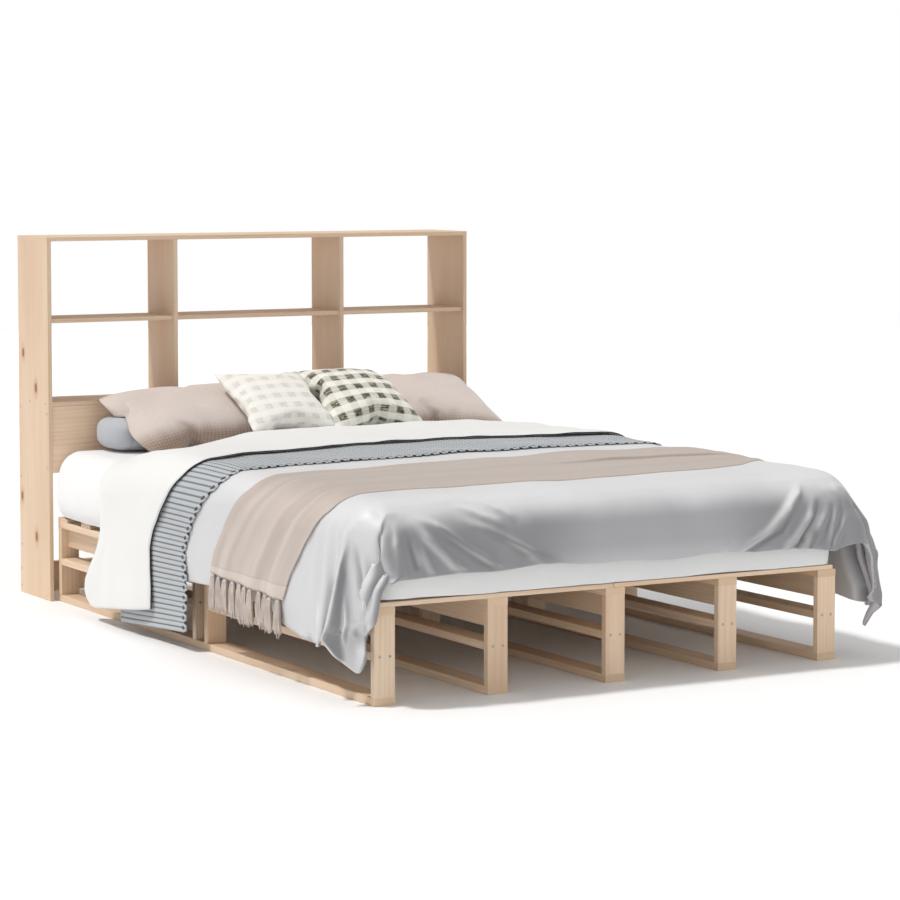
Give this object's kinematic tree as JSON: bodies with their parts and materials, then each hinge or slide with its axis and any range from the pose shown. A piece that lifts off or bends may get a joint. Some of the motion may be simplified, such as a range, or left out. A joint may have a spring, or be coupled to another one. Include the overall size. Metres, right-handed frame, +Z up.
{
  "type": "bookcase headboard bed",
  "caption": "Low slatted pine bed base on open ladder frames, with an open-backed bookcase headboard, a mattress and layered bedding.",
  "frame": {"origin": "on the floor, under the centre of the bounding box", "axes": "+Y from the foot towards the bookcase, +X to the right seen from the foot, +Z up"},
  "size_m": [1.66, 2.305, 1.1],
  "materials": {
    "pine": "sawn and sanded, clear",
    "beech": "turned",
    "zinc": "zinc plated",
    "ticking": "woven ticking",
    "sheet_white": "plain cotton",
    "satin_grey": "satin weave",
    "cotton_white": "plain cotton",
    "rib_grey_blue": "ribbed knit",
    "wool_taupe": "soft wool weave",
    "linen_taupe": "linen weave",
    "cotton_grey_blue": "plain cotton",
    "check_light": "woven check",
    "check_dark": "woven check"
  },
  "bodies": {
    "root": {"backboard_battens": "pine", "backboard_lower": "pine", "backboard_upper": "pine", "batten_screws": "zinc", "blanket_fringe": "wool_taupe", "bookcase_screws": "zinc", "bottom_rail_1": "pine", "bottom_rail_2": "pine", "bottom_rail_3": "pine", "bottom_rail_4": "pine", "bottom_rail_5": "pine", "divider_left": "pine", "divider_right": "pine", "duvet_grey": "satin_grey", "duvet_white_turned_down": "cotton_white", "fitted_sheet": "sheet_white", "frame_screws": "zinc", "fringed_blanket": "wool_taupe", "lower_shelf": "pine", "mattress": "ticking", "mid_rails_1": "pine", "mid_rails_2": "pine", "mid_rails_3": "pine", "mid_rails_4": "pine", "mid_rails_5": "pine", "middle_shelf_centre": "pine", "middle_shelf_left": "pine", "middle_shelf_right": "pine", "pillow_dark_check": "check_dark", "pillow_grey_blue": "cotton_grey_blue", "pillow_light_check": "check_light", "pillow_taupe_left": "linen_taupe", "pillow_taupe_right": "linen_taupe", "posts_1": "pine", "posts_2": "pine", "posts_3": "pine", "posts_4": "pine", "posts_5": "pine", "rear_batten_left": "pine", "rear_batten_right": "pine", "rear_stretcher": "pine", "ribbed_throw": "rib_grey_blue", "shelf_dowels": "beech", "side_panel_left": "pine", "side_panel_right": "pine", "slat_screws": "zinc", "slats_left": "pine", "slats_right": "pine", "top_board": "pine", "top_rail_1": "pine", "top_rail_2": "pine", "top_rail_3": "pine", "top_rail_4": "pine", "top_rail_5": "pine", "web_boards_1": "pine", "web_boards_2": "pine", "web_boards_3": "pine", "web_boards_4": "pine", "web_boards_5": "pine"}
  },
  "joints": []
}
